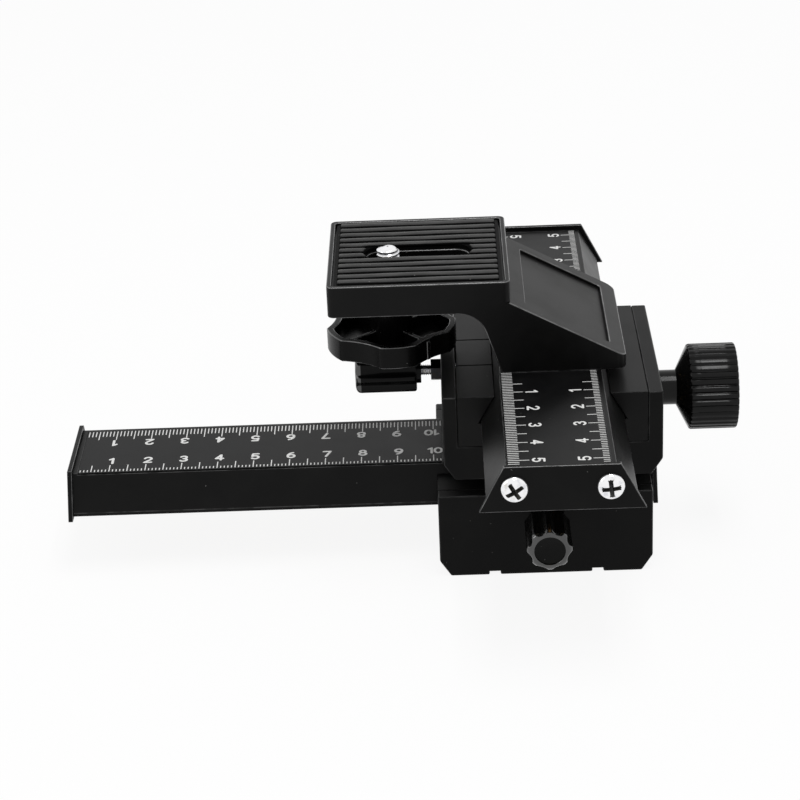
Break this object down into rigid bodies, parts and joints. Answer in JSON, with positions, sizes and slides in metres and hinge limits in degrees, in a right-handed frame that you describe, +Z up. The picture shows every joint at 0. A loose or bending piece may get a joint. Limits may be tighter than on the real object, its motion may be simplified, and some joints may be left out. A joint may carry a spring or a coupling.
{
  "type": "macro focusing rail",
  "caption": "Two-way macro focusing rail: crossed dovetail slides with rack drives, lock knobs, scales and an offset camera bracket on a tripod block.",
  "frame": {"origin": "mouth of the tripod socket, in the middle of the block's underside", "axes": "+X along the lower rail towards its carriage, +Y along the upper rail away from the viewer, +Z up"},
  "size_m": [0.1861, 0.167, 0.0848],
  "materials": {
    "black_anodised": "satin black anodised",
    "moulded_black": "fine matte moulding",
    "scale_black": "satin black with white printing",
    "chrome": "polished plating",
    "bare_steel": "turned steel",
    "dark_steel": "blackened steel",
    "pad_rubber": "matte ribbed rubber",
    "brass": "machined brass"
  },
  "bodies": {
    "tripod_block": {"base_frame": "black_anodised", "base_fixed_jaw": "black_anodised", "base_left_jaw": "black_anodised", "base_right_jaw": "black_anodised", "base_jaw_screws": "dark_steel", "tripod_insert": "bare_steel", "base_lock_nut": "dark_steel", "base_drive_bush": "brass"},
    "lower_clamp": {"base_clamp_jaw": "black_anodised"},
    "lower_lock": {"base_lock_screw": "bare_steel", "base_lock_knob": "moulded_black"},
    "lower_drive": {"base_pinion": "brass", "base_drive_shaft": "bare_steel", "base_shaft_clip": "dark_steel", "base_drive_knob": "moulded_black"},
    "lower_carriage": {"lower_rail": "black_anodised", "lower_rack": "brass", "lower_scale": "scale_black", "lower_left_cap": "black_anodised", "lower_right_cap": "black_anodised", "lower_cap_screws": "chrome", "carriage_frame": "black_anodised", "carriage_fixed_jaw": "black_anodised", "carriage_front_jaw": "black_anodised", "carriage_rear_jaw": "black_anodised", "carriage_jaw_screws": "dark_steel", "carriage_screws": "dark_steel", "carriage_lock_nut": "dark_steel", "carriage_drive_bush": "brass"},
    "upper_clamp": {"carriage_clamp_jaw": "black_anodised"},
    "upper_lock": {"carriage_lock_screw": "bare_steel", "carriage_lock_knob": "moulded_black"},
    "upper_drive": {"carriage_pinion": "brass", "carriage_drive_shaft": "bare_steel", "carriage_shaft_clip": "dark_steel", "carriage_drive_knob": "moulded_black"},
    "upper_carriage": {"upper_rail": "black_anodised", "upper_rack": "brass", "upper_front_scale": "scale_black", "upper_back_scale": "scale_black", "upper_front_cap": "black_anodised", "upper_back_cap": "black_anodised", "upper_cap_screws": "chrome", "camera_bracket": "black_anodised", "bracket_screws": "dark_steel", "camera_pad": "pad_rubber"},
    "screw_slider": {"slot_guide": "brass"},
    "screw_lifter": {"hub_washer": "dark_steel"},
    "camera_screw_unit": {"camera_screw": "chrome", "thumb_wheel": "moulded_black"}
  },
  "joints": [
    {"name": "lower_slide", "type": "slide", "parent": "tripod_block", "child": "lower_carriage", "axis": [1, 0, 0], "range_m": [-0.0006, 0.1005]},
    {"name": "lower_drive_turn", "type": "hinge", "parent": "tripod_block", "child": "lower_drive", "pos_m": [0, 0.03, 0.012], "axis": [0, 1, 0], "range_deg": [-9.2, 1201.6]},
    {"name": "lower_lock_turn", "type": "hinge", "parent": "tripod_block", "child": "lower_lock", "pos_m": [0, -0.04, 0.0198], "axis": [0, 1, 0], "range_deg": [-96, 82]},
    {"name": "lower_clamp_slide", "type": "slide", "parent": "tripod_block", "child": "lower_clamp", "axis": [0, 1, 0], "range_m": [-0.00012, 0.0001]},
    {"name": "upper_slide", "type": "slide", "parent": "lower_carriage", "child": "upper_carriage", "axis": [0, 1, 0], "range_m": [-0.0533, 0.0477]},
    {"name": "upper_drive_turn", "type": "hinge", "parent": "lower_carriage", "child": "upper_drive", "pos_m": [0.0323, 0, 0.0413], "axis": [1, 0, 0], "range_deg": [-571.4, 638.2]},
    {"name": "upper_lock_turn", "type": "hinge", "parent": "lower_carriage", "child": "upper_lock", "pos_m": [-0.0377, 0, 0.0491], "axis": [1, 0, 0], "range_deg": [-96, 82]},
    {"name": "upper_clamp_slide", "type": "slide", "parent": "lower_carriage", "child": "upper_clamp", "axis": [1, 0, 0], "range_m": [-0.00012, 0.0001]},
    {"name": "screw_slide", "type": "slide", "parent": "upper_carriage", "child": "screw_slider", "axis": [1, 0, 0], "range_m": [-0.0018, 0.008]},
    {"name": "screw_lift", "type": "slide", "parent": "screw_slider", "child": "screw_lifter", "axis": [0, 0, 1], "range_m": [0, 0.0036]},
    {"name": "screw_turn", "type": "hinge", "parent": "screw_lifter", "child": "camera_screw_unit", "pos_m": [-0.0405, 0.0039, 0.06925], "axis": [0, 0, 1], "continuous": true}
  ],
  "couplings": [
    {"joint": "lower_drive_turn", "follows": "lower_slide", "rad_per_m": 208.33},
    {"joint": "upper_drive_turn", "follows": "upper_slide", "rad_per_m": -208.33},
    {"joint": "lower_lock_turn", "follows": "lower_clamp_slide", "rad_per_m": 12566},
    {"joint": "upper_lock_turn", "follows": "upper_clamp_slide", "rad_per_m": 12566}
  ]
}
